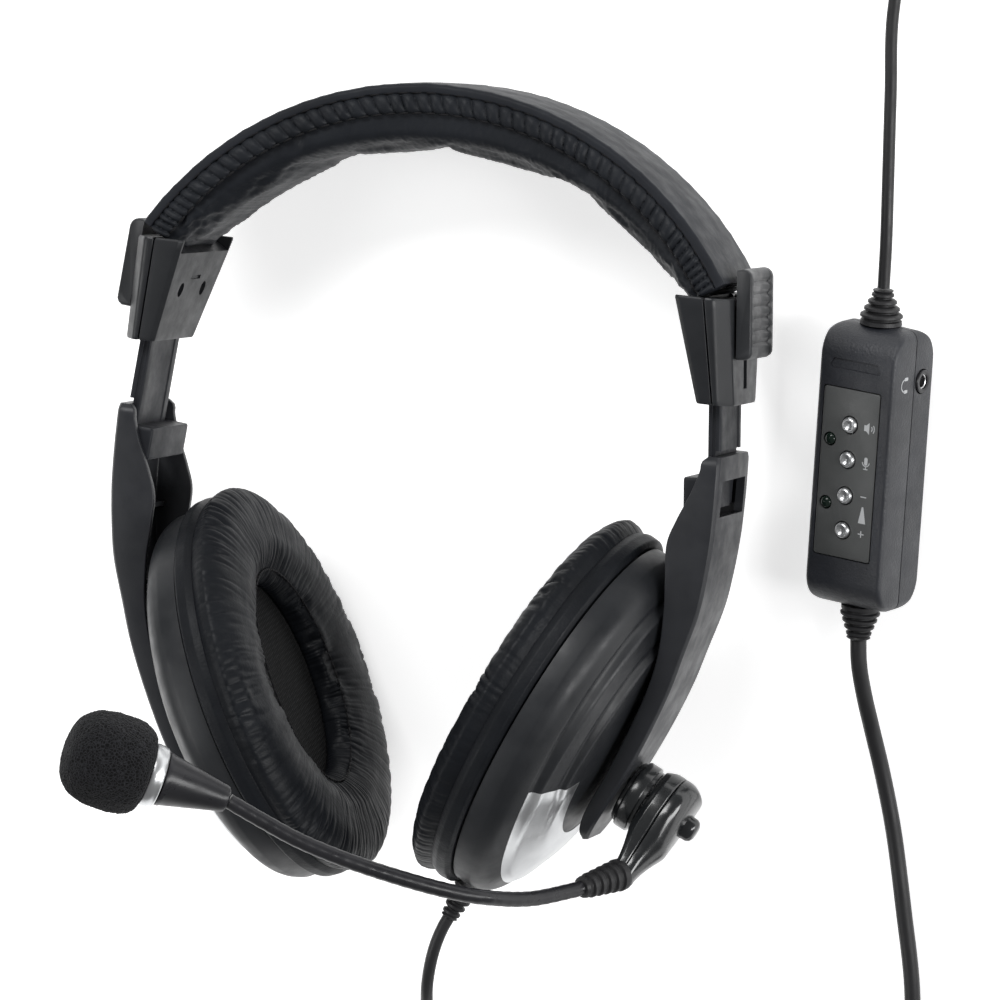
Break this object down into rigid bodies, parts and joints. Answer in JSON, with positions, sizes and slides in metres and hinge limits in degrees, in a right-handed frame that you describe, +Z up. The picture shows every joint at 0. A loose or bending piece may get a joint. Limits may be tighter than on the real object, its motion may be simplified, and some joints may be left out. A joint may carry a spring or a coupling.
{
  "type": "office headset",
  "caption": "Over-ear office headset with padded band, sliding arms, boom microphone and in-line remote, lying on its back",
  "frame": {"origin": "on the table, in the middle under the headset and its remote, leads left out", "axes": "+Z up from the table, +Y towards the top of the head, +X towards the side with the microphone and the remote"},
  "size_m": [0.2316, 0.3661, 0.1403],
  "materials": {
    "leatherette": "fine-grained soft leatherette, slight sheen",
    "steel": "plain steel",
    "housing_plastic": "smooth semi-matt black plastic",
    "strap_plastic": "smooth dark grey plastic",
    "grip_plastic": "smooth dark grey plastic",
    "arm_plastic": "smooth dark grey plastic with a soft shine",
    "shell_plastic": "satin black plastic",
    "ring_plastic": "smooth black plastic",
    "silver_plating": "satin silver plating",
    "driver_cone": "thin dark film",
    "ear_cloth": "thin black woven cloth",
    "gloss_plastic": "glossy black plastic",
    "black_plastic": "smooth black plastic",
    "rubber": "soft black rubber",
    "foam": "open-cell black foam",
    "cord_jacket": "smooth black soft vinyl",
    "remote_plastic": "spark-textured charcoal plastic",
    "remote_plate": "fine-textured grey plastic",
    "light_lens": "clear dark lens over an unlit light",
    "board": "green circuit board"
  },
  "bodies": {
    "headband": {"headband_cover": "leatherette", "headband_spring": "steel", "headband_pad": "leatherette", "slider_housing_inner_left": "housing_plastic", "slider_housing_inner_right": "housing_plastic", "slider_housing_outer_left": "housing_plastic", "slider_housing_outer_right": "housing_plastic", "remote_front_shell": "remote_plastic", "remote_rear_shell": "remote_plastic", "remote_face_plate": "remote_plate", "remote_light_upper": "light_lens", "remote_light_lower": "light_lens", "remote_board": "board", "headphone_socket": "black_plastic", "remote_sleeve_top": "rubber", "remote_sleeve_bottom": "rubber", "headset_cord": "cord_jacket", "usb_cord": "cord_jacket", "cord_coil": "cord_jacket", "usb_tail": "cord_jacket", "cord_tie": "black_plastic", "plug_body": "black_plastic", "plug_shell": "steel"},
    "slider_left": {"strap_left": "strap_plastic", "thumb_grip_left": "grip_plastic", "arm_left": "arm_plastic", "pivot_pin_left": "steel"},
    "slider_right": {"strap_right": "strap_plastic", "thumb_grip_right": "grip_plastic", "arm_right": "arm_plastic", "pivot_pin_right": "steel", "mic_boss": "gloss_plastic"},
    "cup_left": {"cup_shell_left": "shell_plastic", "pivot_lug_left": "shell_plastic", "cup_trim_left": "silver_plating", "cup_ring_left": "ring_plastic", "ear_pad_left": "leatherette", "driver_left": "driver_cone", "ear_cloth_left": "ear_cloth"},
    "cup_right": {"cup_shell_right": "shell_plastic", "pivot_lug_right": "shell_plastic", "cup_trim_right": "silver_plating", "cup_ring_right": "ring_plastic", "ear_pad_right": "leatherette", "driver_right": "driver_cone", "ear_cloth_right": "ear_cloth", "cord_sleeve": "rubber"},
    "mic_arm": {"mic_swivel_inner": "gloss_plastic", "mic_swivel_outer": "gloss_plastic", "boom_sleeve": "rubber", "mic_boom": "black_plastic", "mic_holder": "black_plastic", "mic_ring": "silver_plating", "mic_capsule": "steel", "windscreen": "foam"},
    "speaker_mute_button": {"button_speaker_mute": "silver_plating"},
    "mic_mute_button": {"button_mic_mute": "silver_plating"},
    "volume_down_button": {"button_volume_down": "silver_plating"},
    "volume_up_button": {"button_volume_up": "silver_plating"}
  },
  "joints": [
    {"name": "slide_left", "type": "slide", "parent": "headband", "child": "slider_left", "axis": [-0.0872, -0.9853, 0.1472], "range_m": [-0.0129, 0.0036]},
    {"name": "slide_right", "type": "slide", "parent": "headband", "child": "slider_right", "axis": [0.0872, -0.9853, 0.1472], "range_m": [-0.0095, 0.007], "deforming": ["headset_cord"]},
    {"name": "cup_tilt_left", "type": "hinge", "parent": "slider_left", "child": "cup_left", "pos_m": [-0.08408, -0.02945, 0.03897], "axis": [0, -0.1478, -0.989], "range_deg": [-1.2, 1.2]},
    {"name": "cup_tilt_right", "type": "hinge", "parent": "slider_right", "child": "cup_right", "pos_m": [0.04682, -0.0261, 0.03847], "axis": [0, -0.1478, -0.989], "range_deg": [-1.2, 1.2]},
    {"name": "mic_swing", "type": "hinge", "parent": "slider_right", "child": "mic_arm", "pos_m": [0.04277, -0.06586, 0.04441], "axis": [-0.9063, 0.418, -0.0625], "range_deg": [-25, 90]},
    {"name": "speaker_mute_press", "type": "slide", "parent": "headband", "child": "speaker_mute_button", "axis": [0.342, 0, -0.9397], "range_m": [0, 0.0006], "stiffness_N_per_m": 700},
    {"name": "mic_mute_press", "type": "slide", "parent": "headband", "child": "mic_mute_button", "axis": [0.342, 0, -0.9397], "range_m": [0, 0.0006], "stiffness_N_per_m": 700},
    {"name": "volume_down_press", "type": "slide", "parent": "headband", "child": "volume_down_button", "axis": [0.342, 0, -0.9397], "range_m": [0, 0.0006], "stiffness_N_per_m": 700},
    {"name": "volume_up_press", "type": "slide", "parent": "headband", "child": "volume_up_button", "axis": [0.342, 0, -0.9397], "range_m": [0, 0.0006], "stiffness_N_per_m": 700}
  ]
}
